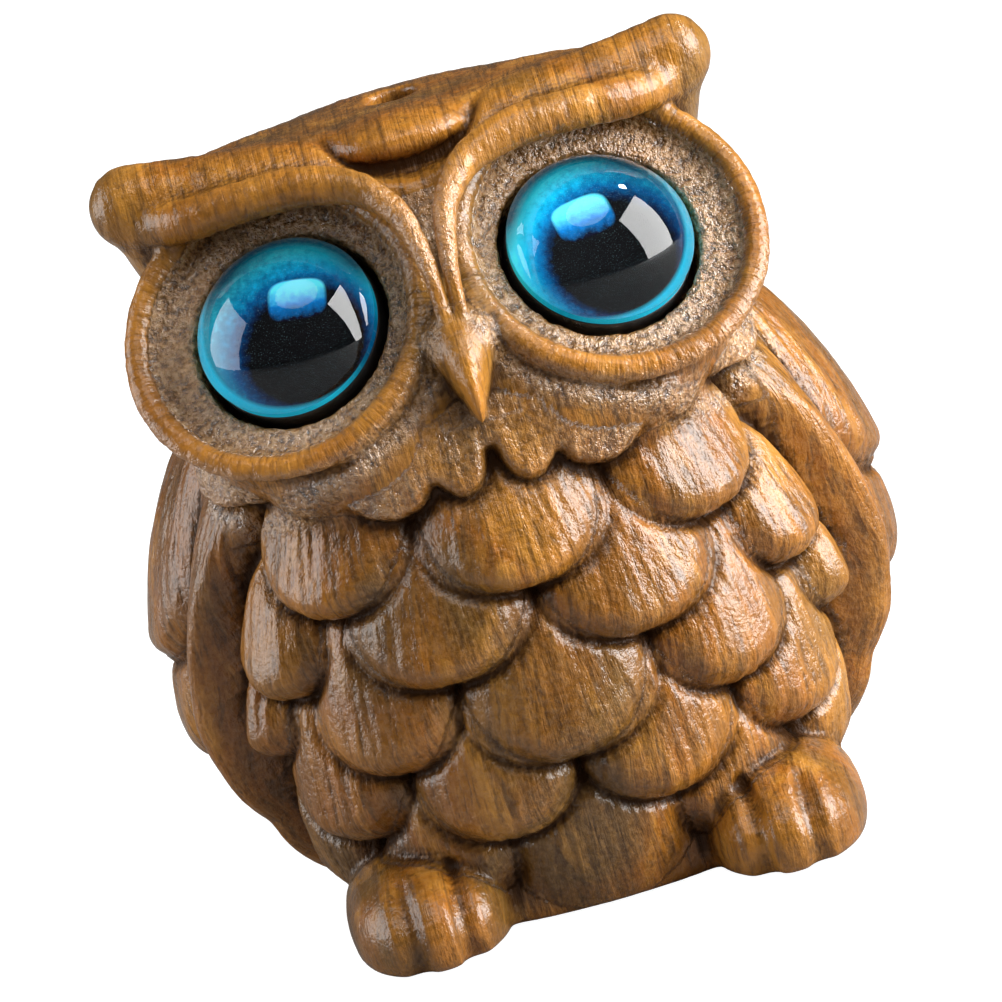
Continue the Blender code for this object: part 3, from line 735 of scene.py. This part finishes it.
class Paint:
    """A Principled material and short ways to add nodes to it."""

    def __init__(self, name):
        self.material = bpy.data.materials.new(name)
        self.material.use_nodes = True
        self.tree = self.material.node_tree
        self.shader = self.tree.nodes["Principled BSDF"]

    def node(self, kind, settings=None, **inputs):
        made = self.tree.nodes.new(kind)
        for key, value in (settings or {}).items():
            setattr(made, key, value)
        for key, value in inputs.items():
            self.feed(made.inputs[key], value)
        return made

    def feed(self, socket, value):
        if isinstance(value, bpy.types.NodeSocket):
            self.tree.links.new(value, socket)
        else:
            socket.default_value = value

    def noise(self, vector, scale, detail=3.0, rough=0.55, distortion=0.0):
        made = self.node("ShaderNodeTexNoise", Vector=vector, Scale=scale, Detail=detail, Roughness=rough,
                         Distortion=distortion)
        return made.outputs["Fac"]

    def stretch(self, vector, x, y, z):
        made = self.node("ShaderNodeMapping", Vector=vector, Scale=(x, y, z), Rotation=NOISE_TURN)
        return made.outputs[0]

    def ramp(self, value, *stops):
        made = self.node("ShaderNodeValToRGB", Fac=value)
        elements = made.color_ramp.elements
        while len(elements) < len(stops):
            elements.new(0.5)
        for element, (place, colour) in zip(elements, stops):
            element.position = place
            element.color = (*colour, 1) if isinstance(colour, tuple) else (colour, colour, colour, 1)
        return made.outputs[0]

    def mix(self, share, a, b, blend="MIX"):
        made = self.node("ShaderNodeMix", {"data_type": "RGBA", "blend_type": blend})
        self.feed(made.inputs[0], share)
        for socket, value in ((made.inputs[6], a), (made.inputs[7], b)):
            self.feed(socket, (*value, 1) if isinstance(value, tuple) else value)
        return made.outputs[2]

    def maths(self, kind, a, b=0.0):
        made = self.node("ShaderNodeMath", {"operation": kind})
        self.feed(made.inputs[0], a)
        self.feed(made.inputs[1], b)
        return made.outputs[0]

    def plus(self, a, b):
        return self.maths("ADD", a, b)

    def minus(self, a, b):
        return self.maths("SUBTRACT", a, b)

    def times(self, a, b):
        return self.maths("MULTIPLY", a, b)

    def length(self, a, b):
        return self.maths("SQRT", self.plus(self.times(a, a), self.times(b, b)))

    def attribute(self, name, output):
        return self.node("ShaderNodeAttribute", {"attribute_name": name}).outputs[output]

    def bump(self, height, distance, strength=1.0, normal=None):
        made = self.node("ShaderNodeBump", Height=height, Distance=distance, Strength=strength)
        if normal is not None:
            self.tree.links.new(normal, made.inputs["Normal"])
        return made.outputs[0]

    def set(self, **inputs):
        for key, value in inputs.items():
            self.feed(self.shader.inputs[key.replace("_", " ")], value)


def wood_paint():
    """Lacquered hardwood: long upright grain, dark pores, painted shade in the hollows that also stands
    for stain gathered there, polished ridges, chipped parts painted lighter.
    """
    p = Paint("carved_wood")
    place = p.node("ShaderNodeTexCoord").outputs["Object"]
    lie = p.attribute("lie", "Vector")
    cavity = p.attribute("cavity", "Fac")
    chipped = p.attribute("chipped", "Fac")
    broad = p.noise(p.stretch(place, 70, 70, 34), 1.0, 3, 0.5, 0.4)
    bands = p.noise(p.stretch(place, 330, 330, 75), 1.0, 4, 0.6, 0.5)
    pores = p.noise(p.stretch(place, 1700, 1700, 260), 1.0, 3, 0.6, 0.3)
    stipple = p.noise(place, 2600.0, 2, 0.6)
    strokes = p.noise(p.stretch(lie, 2.1, 0.32, 3.7), 1.0, 3, 0.6, 0.3)
    colour = p.ramp(broad, (0.34, (0.160, 0.076, 0.013)), (0.46, (0.34, 0.112, 0.008)),
                    (0.58, (0.47, 0.190, 0.020)), (0.70, (0.260, 0.128, 0.022)))
    colour = p.mix(p.ramp(bands, (0.40, 0.5), (0.54, 0.0)), colour, (0.120, 0.052, 0.008))
    colour = p.mix(p.ramp(bands, (0.54, 0.0), (0.68, 0.6)), colour, (0.58, 0.265, 0.040))
    colour = p.mix(p.ramp(pores, (0.34, 0.5), (0.43, 0.0)), colour, (0.050, 0.020, 0.004))
    colour = p.mix(p.ramp(strokes, (0.36, 0.65), (0.48, 0.0)), colour, (0.070, 0.028, 0.005))
    # Chipped wood is painted lighter, up to a pale golden tone: partly the raw wood of the chips, partly
    # painted light on the dishes and on the ruff under the rings.
    chips = p.noise(place, 2200.0, 3, 0.65)
    tan = p.ramp(chips, (0.40, (0.060, 0.026, 0.007)), (0.48, (0.42, 0.205, 0.062)),
                 (0.62, (0.80, 0.50, 0.25)))
    colour = p.mix(p.ramp(chipped, (0.2, 0.06), (1.0, 0.6)), colour, tan)
    colour = p.mix(p.ramp(stipple, (0.60, 0.0), (0.72, 0.15)), colour, (0.58, 0.30, 0.08))
    # Painted shade: hollows found by the cavity attribute are darkened, also standing for stain gathered
    # there; less so where the wood is chipped.
    hollow = p.times(p.ramp(cavity, (-0.01, 0.0), (0.16, 0.97)), p.ramp(chipped, (0.3, 1.0), (0.9, 0.4)))
    ridge = p.ramp(p.times(cavity, -1.0), (0.05, 0.0), (0.26, 0.45))
    colour = p.mix(ridge, colour, (0.58, 0.225, 0.030))
    colour = p.mix(hollow, colour, (0.040, 0.015, 0.004))
    rough = p.ramp(p.noise(place, 900.0, 3, 0.6), (0.35, 0.30), (0.65, 0.55))
    height = p.plus(strokes, p.times(pores, 0.35))
    pitted = p.times(chips, chipped)
    normal = p.bump(pitted, 0.00055, 1.0, p.bump(height, 0.00022, 0.85))
    coat = p.bump(pitted, 0.00045, 1.0, p.bump(strokes, 0.00005, 0.8))
    coat = p.bump(stipple, 0.00003, 0.7, coat)
    shiny = p.mix(p.ramp(cavity, (0.03, 0.0), (0.15, 1.0)), p.ramp(chipped, (0.2, 0.8), (0.9, 1.0)),
                  (0.06, 0.06, 0.06))
    p.set(Base_Color=colour, Roughness=rough, Normal=normal)
    p.set(Coat_Weight=shiny, Coat_Roughness=0.07, Coat_Normal=coat)
    p.set(Coat_IOR=p.plus(p.times(chipped, 0.95), 1.36))
    p.shader.inputs["Specular IOR Level"].default_value = 0.1
    return p.material


# Iris, in glass radii from the eye's middle, towards +X and up
PUPIL_MIDDLE = (0.12, -0.31)
PUPIL_RADIUS = 0.63
EYE_TURN = 0.12  # how far each iris is moved towards the beak
PUPIL_REFLECTION_MIDDLE = (0.03, 0.18)  # painted blue reflection in the upper part of the pupil
PUPIL_REFLECTION_WIDE, PUPIL_REFLECTION_HIGH = 0.27, 0.19


def iris_paint():
    """Blue metal foil with a glossy black pupil, laid out on the disc's own map, with painted light on it:
    side shading, a reflection in the pupil, a dark top and a bright bottom to the rim, glints, and a faint
    glow.
    """
    p = Paint("blue_foil")
    disc = p.node("ShaderNodeTexCoord").outputs["UV"]
    split = p.node("ShaderNodeSeparateXYZ", Vector=disc)
    second = p.maths("GREATER_THAN", split.outputs[0], 1.5)
    local = p.minus(split.outputs[0], p.times(second, 2.0))
    across = p.times(p.minus(local, 0.5), 2.0)
    inward = p.times(across, p.minus(p.times(second, 2.0), 1.0))
    upward = p.times(p.minus(split.outputs[1], 0.5), 2.0)
    around = p.noise(disc, 26.0, 3, 0.7)
    gap_x = p.minus(across, PUPIL_MIDDLE[0])
    gap_y = p.minus(upward, PUPIL_MIDDLE[1])
    ragged = p.times(p.minus(around, 0.5), 0.12)
    ragged = p.plus(p.length(gap_x, gap_y), ragged)
    blues = [(-0.06, (0.001, 0.001, 0.002)), (0, (0.000, 0.030, 0.11)), (0.09, (0.000, 0.16, 0.40)),
             (0.20, (0.002, 0.46, 0.74)), (0.36, (0.04, 0.82, 0.97))]
    colour = p.ramp(ragged, *((PUPIL_RADIUS + outside, blue) for outside, blue in blues))
    # Painted light and shade by side: the foil is drawn brighter towards the beak and upwards and dimmer
    # away from them.
    tilt = p.plus(p.times(inward, 0.38), p.times(upward, 0.12))
    dim = p.ramp(p.plus(tilt, p.times(around, 0.9)),
                 (0.18, (0.25, 0.40, 0.50)), (0.62, (1.0, 1.0, 1.0)))
    colour = p.mix(1.0, colour, dim, "MULTIPLY")
    # Painted reflection: a cyan patch in the upper part of the pupil, where a light's reflection would
    # show.
    reflection_x = p.maths("DIVIDE", p.minus(across, PUPIL_REFLECTION_MIDDLE[0]), PUPIL_REFLECTION_WIDE)
    reflection_y = p.maths("DIVIDE", p.minus(upward, PUPIL_REFLECTION_MIDDLE[1]), PUPIL_REFLECTION_HIGH)
    glow = p.plus(*(p.maths("POWER", p.maths("ABSOLUTE", way), 3.5) for way in (reflection_x, reflection_y)))
    fall = p.plus(reflection_y, p.times(p.minus(around, 0.5), 0.9))
    shine = p.ramp(p.times(p.plus(fall, 1.0), 0.5), (0.05, (0.0, 0.0, 0.01)),
                   (0.40, (0.0, 0.20, 0.60)), (0.80, (0.12, 0.85, 0.98)))
    colour = p.mix(p.ramp(glow, (0.65, 1.0), (1.0, 0.0)), colour, shine, "ADD")
    # Painted shade: the upper part of the rim is darkened.
    from_middle = p.length(across, upward)
    shade = p.times(p.ramp(from_middle, (0.42, 0.0), (0.80, 0.95)), p.ramp(upward, (0.1, 0.0), (0.5, 1.0)))
    colour = p.mix(shade, colour, (0.0, 0.035, 0.07))
    # Painted light: a bright cyan arc along the bottom of the rim.
    arc = p.times(p.ramp(from_middle, (0.88, 0.0), (0.94, 0.95)), p.ramp(upward, (0.25, 1.0), (0.5, 0.0)))
    colour = p.mix(arc, colour, (0.02, 0.60, 0.88))
    sparkle = p.noise(disc, 190.0, 2, 0.7)
    # Painted glints: specks of the foil are lightened towards pale cyan.
    bright = p.mix(0.75, colour, (0.5, 0.9, 1.0))
    colour = p.mix(p.ramp(sparkle, (0.64, 0.0), (0.76, 0.6)), colour, bright)
    p.set(Base_Color=colour, Metallic=p.ramp(ragged, (PUPIL_RADIUS, 0.0), (PUPIL_RADIUS + 0.1, 0.55)))
    p.set(Roughness=p.ramp(sparkle, (0.4, 0.38), (0.6, 0.5)), Normal=p.bump(sparkle, 0.00006, 0.6))
    p.shader.inputs["Specular IOR Level"].default_value = 0.04
    # Painted light: the foil glows faintly in its own colour, though it is no lamp.
    p.set(Emission_Color=colour)
    p.shader.inputs["Emission Strength"].default_value = 0.30
    return p.material


def glass_paint():
    """Clear polished glass with the faintest unevenness."""
    p = Paint("clear_glass")
    place = p.node("ShaderNodeTexCoord").outputs["Object"]
    p.set(Base_Color=(1, 1, 1, 1), Transmission_Weight=1.0, IOR=1.5)
    p.shader.inputs["Specular IOR Level"].default_value = 0.36
    p.set(Roughness=p.ramp(p.noise(place, 300.0, 2, 0.5), (0.4, 0.0), (0.7, 0.035)))
    p.set(Normal=p.bump(p.noise(place, 160.0, 1, 0.5), 0.00004, 0.35))
    return p.material


def plain_paint(name, low, high, scale, rough_low, rough_high, coat=0.0):
    """A simple coloured stuff with fine mottling."""
    p = Paint(name)
    place = p.node("ShaderNodeTexCoord").outputs["Object"]
    grain = p.noise(place, scale, 3, 0.6)
    p.set(Base_Color=p.ramp(grain, (0.35, low), (0.65, high)), Coat_Weight=coat)
    p.set(Roughness=p.ramp(grain, (0.3, rough_low), (0.7, rough_high)))
    return p.material


# ---- the carved body ----

WOOD = wood_paint()
body_map, block = carve()
half = soften(block.field, 1)
full = np.concatenate([half[:MIRROR_CELLS:-1], half[MIRROR_CELLS:]], axis=0)
full_low = np.array([-(half.shape[0] - 1 - MIRROR_CELLS) * VOXEL, block.low[1], block.low[2]])
points, quads = net_surface(full, full_low)
cavity = cavity_of(full, (points - full_low) / VOXEL)
across, along, owner = lie_of(body_map, points)
chipped = chipped_at(points, owner)
owl = link_piece("owl_body", points, quads, "carved_body", WOOD)
mesh = owl.data
normals = np.empty(len(points) * 3)
mesh.vertices.foreach_get("normal", normals)
depth = strokes_at(points, across, along, owner, chipped)
points = points - normals.reshape(-1, 3) * depth[:, None]
mesh.vertices.foreach_set("co", (points * MM).ravel())
for name, values in (("cavity", cavity), ("chipped", chipped)):
    mesh.attributes.new(name, "FLOAT", "POINT").data.foreach_set("value", values.astype(np.float32))
lie = np.stack([across, along, owner], axis=1).astype(np.float32)
mesh.attributes.new("lie", "FLOAT_VECTOR", "POINT").data.foreach_set("vector", lie.ravel())
mesh.update()

# ---- the eyes ----

GLASS_RADIUS = 6.0
GLASS_HEIGHT = 3.9
GLASS_EDGE = 0.35
DOME_STEPS = 40
# Outlines from back to front: (radius, height) along the eye's axis
IRIS_ROWS = [(0, -0.6), (5.9, -0.6), (5.93, -0.57), (5.93, 0.0), (5.9, 0.02), (5.0, 0.02), (4.0, 0.02),
             (3.0, 0.02), (2.0, 0.02), (1.0, 0.02), (0, 0.02)]
BACKING_ROWS = [(0, -3.4), (5.2, -3.4), (5.6, -3.25), (6.0, -2.8), (6.0, -0.72), (5.9, -0.62), (0, -0.62)]
GLUE_ROWS = [(0, -0.25), (5.0, -0.25), (5.5, -0.1), (5.5, 0.1), (5.0, 0.25), (0, 0.25)]
ROUND_STEPS = 160


def lathe(profile, middle, side):
    """Turn an outline of (radius, height) rows, from back to front, round an eye's axis."""
    out = EYE_OUT * (side, 1, 1)
    flat = np.cross((0, 0, 1.0), out) * -1
    flat /= np.linalg.norm(flat)
    up = np.cross(out, flat)
    if up[2] < 0:
        up = -up
    flat = np.cross(up, out)
    centre = middle * (side, 1, 1)
    rows, faces = [centre + out * profile[0][1]], []
    spin = np.arange(ROUND_STEPS) * 2 * math.pi / ROUND_STEPS
    round_flat, round_up = np.outer(np.cos(spin), flat), np.outer(np.sin(spin), up)
    for r, h in profile[1:-1]:
        rows += list(centre + out * h + round_flat * r + round_up * r)
    rows.append(centre + out * profile[-1][1])
    count = len(profile) - 2
    for k in range(ROUND_STEPS):
        j = (k + 1) % ROUND_STEPS
        faces.append((0, 1 + j, 1 + k))
        for row in range(count - 1):
            a, b = 1 + row * ROUND_STEPS, 1 + (row + 1) * ROUND_STEPS
            faces.append((a + k, a + j, b + j, b + k))
        last = 1 + (count - 1) * ROUND_STEPS
        faces.append((last + k, last + j, len(rows) - 1))
    return np.array(rows), faces, (centre, flat, up)


def dome_rows():
    """Outline of the glass: flat back, short edge, round top."""
    cap = GLASS_HEIGHT - GLASS_EDGE
    bend = (GLASS_RADIUS ** 2 + cap ** 2) / (2 * cap)
    sweep = math.asin(GLASS_RADIUS / bend)
    rows = [(0, 0), (3.0, 0), (GLASS_RADIUS - 0.12, 0), (GLASS_RADIUS - 0.03, 0.03),
            (GLASS_RADIUS, 0.12), (GLASS_RADIUS, GLASS_EDGE - 0.08)]
    for k in range(DOME_STEPS):
        a = sweep * (1 - k / DOME_STEPS)
        tuck = 0.02 if k == 0 else 0
        rows.append((bend * math.sin(a) - tuck, GLASS_EDGE + bend * math.cos(a) - (bend - cap)))
    return rows + [(0, GLASS_HEIGHT)]


GLASS = glass_paint()
FOIL = iris_paint()
BLACK = plain_paint("black_backing", (0.006, 0.006, 0.007), (0.014, 0.013, 0.013), 700.0,
                    0.25, 0.45, 0.4)
GLUE = plain_paint("adhesive", (0.30, 0.26, 0.17), (0.42, 0.37, 0.26), 500.0, 0.35, 0.55)

for side, word in ((1, "left"), (-1, "right")):
    rows, faces, _ = lathe(dome_rows(), GLASS_BACK, side)
    link_piece("glass_" + word, rows, faces, "eye_dome_" + word, GLASS)
    rows, faces, (centre, flat, up) = lathe(IRIS_ROWS, GLASS_BACK, side)
    iris = link_piece("iris_" + word, rows, faces, "iris_disc_" + word, FOIL, smooth=False)
    layer = iris.data.uv_layers.new(name="disc")
    local = rows - centre
    u, v = local @ flat / GLASS_RADIUS, local @ up / GLASS_RADIUS
    for loop in iris.data.loops:
        # the right eye's map lies two units to the side, which tells the foil which eye it is in
        layer.data[loop.index].uv = (0.5 + 0.5 * (u[loop.vertex_index] + EYE_TURN * side) + (1 - side),
                                     0.5 + 0.5 * v[loop.vertex_index])
    rows, faces, _ = lathe(BACKING_ROWS, GLASS_BACK, side)
    link_piece("backing_" + word, rows, faces, "eye_base_" + word, BLACK)
    rows, faces, _ = lathe(GLUE_ROWS, middle_of("glue_bed_left"), side)
    link_piece("glue_" + word, rows, faces, "glue_bed_" + word, GLUE)

# ---- floor, light and camera ----

TARGET = Vector((0, 0, 0.027))  # from here on lengths are metres
ROOM_LIGHT = 0.07  # what the surroundings give the owl
BACKDROP_LIGHT = 1.0  # and how bright they look behind it
FLOOR_HALF, FLOOR_HEIGHT = 2, -0.0003


def look_at(thing, target, turn=0.0):
    """Point a light or the camera at a place, turned round its line of sight."""
    way = (target - thing.location).normalized()
    thing.rotation_mode = "QUATERNION"
    thing.rotation_quaternion = Quaternion(way, turn) @ way.to_track_quat("-Z", "Y")


def softbox(name, way, distance, wide, high, brightness, shape="RECTANGLE"):
    """A flat light in the given direction; brightness is what a mirror shows of a rectangle."""
    light = bpy.data.lights.new(name, "AREA")
    light.shape, light.size, light.size_y = shape, wide, high
    light.energy = brightness * math.pi * wide * high
    thing = add_object(name, light)
    thing.location = TARGET + Vector(way).normalized() * distance
    look_at(thing, TARGET)


softbox("top_box", (0.10, -0.36, 0.93), 0.55, 0.40, 0.32, 1.9, "ELLIPSE")
softbox("window", (0.90, -0.26, 0.36), 0.60, 0.44, 0.54, 12.0)
softbox("back_spot", (0.59, 0.23, 0.77), 0.60, 0.05, 0.05, 90.0)
softbox("left_panel", (-0.92, 0.10, 0.32), 0.60, 0.50, 0.50, 3.6)

world = bpy.data.worlds.new("studio")
world.use_nodes = True
bpy.context.scene.world = world
tree = world.node_tree
surround = tree.nodes["Background"]
seen = tree.nodes.new("ShaderNodeBackground")
for background, strength in ((surround, ROOM_LIGHT), (seen, BACKDROP_LIGHT)):
    background.inputs["Color"].default_value = (1, 1, 1, 1)
    background.inputs["Strength"].default_value = strength
path = tree.nodes.new("ShaderNodeLightPath")
chosen = tree.nodes.new("ShaderNodeMixShader")
tree.links.new(path.outputs["Is Camera Ray"], chosen.inputs[0])
tree.links.new(surround.outputs[0], chosen.inputs[1])
tree.links.new(seen.outputs[0], chosen.inputs[2])
tree.links.new(chosen.outputs[0], tree.nodes["World Output"].inputs["Surface"])

floor_mesh = bpy.data.meshes.new("floor")
floor_corners = ((-1, -1), (1, -1), (1, 1), (-1, 1))
floor_rows = [(x * FLOOR_HALF, y * FLOOR_HALF, FLOOR_HEIGHT) for x, y in floor_corners]
floor_mesh.from_pydata(floor_rows, [], [(0, 1, 2, 3)])
floor = add_object("floor", floor_mesh)
floor_paint = plain_paint("pale_floor", (0.28, 0.28, 0.28), (0.30, 0.30, 0.30), 20.0, 0.7, 0.9)
floor_shader = floor_paint.node_tree.nodes["Principled BSDF"]
floor_path = floor_paint.node_tree.nodes.new("ShaderNodeLightPath")
floor_shader.inputs["Emission Color"].default_value = (1, 1, 1, 1)
floor_glow = floor_shader.inputs["Emission Strength"]
floor_paint.node_tree.links.new(floor_path.outputs["Is Camera Ray"], floor_glow)
floor_mesh.materials.append(floor_paint)

CAMERA_RISE = math.radians(15)
CAMERA_DISTANCE = 0.35
CAMERA_AIM = Vector((-0.00027, 0, 0.0229))
CAMERA_TURN = math.radians(15.8)  # the owl stands aslant in the picture
SENSOR_WIDTH, LENS = 36, 188.263473  # millimetres
camera_data = bpy.data.cameras.new("camera")
camera = add_object("camera", camera_data)
camera.location = TARGET + Vector((0, -math.cos(CAMERA_RISE), math.sin(CAMERA_RISE))) * CAMERA_DISTANCE
camera_data.sensor_width = SENSOR_WIDTH
camera_data.lens = LENS
camera_data.clip_start = 0.01
look_at(camera, CAMERA_AIM, CAMERA_TURN)
bpy.context.scene.camera = camera
bpy.context.scene.view_settings.view_transform = "Standard"
